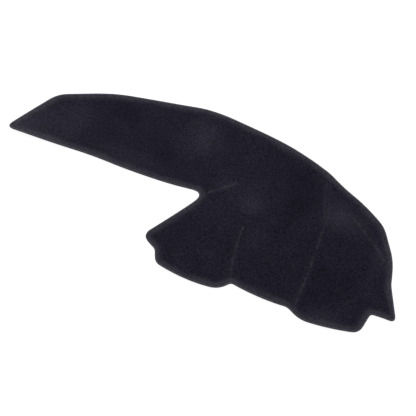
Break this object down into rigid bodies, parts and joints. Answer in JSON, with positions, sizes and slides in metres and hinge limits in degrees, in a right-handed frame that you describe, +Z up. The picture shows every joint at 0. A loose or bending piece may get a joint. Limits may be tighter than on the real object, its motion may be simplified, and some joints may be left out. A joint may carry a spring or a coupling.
{
  "type": "dashboard cover mat",
  "caption": "Fitted carpet mat that covers a right-hand-drive car's dashboard, with sewn darts that swell over the instrument hood and a stitched, turned-under hem.",
  "frame": {"origin": "middle of the mat's footprint, on the flat surface that it lies on", "axes": "+X across the car towards the driver's door, +Y towards the windscreen, +Z up out of the pile side"},
  "size_m": [1.4526, 0.5802, 0.0541],
  "materials": {
    "carpet": "matt short-pile velour carpet, blue-black"
  },
  "bodies": {
    "root": {"mat_panel": "carpet"}
  },
  "joints": []
}
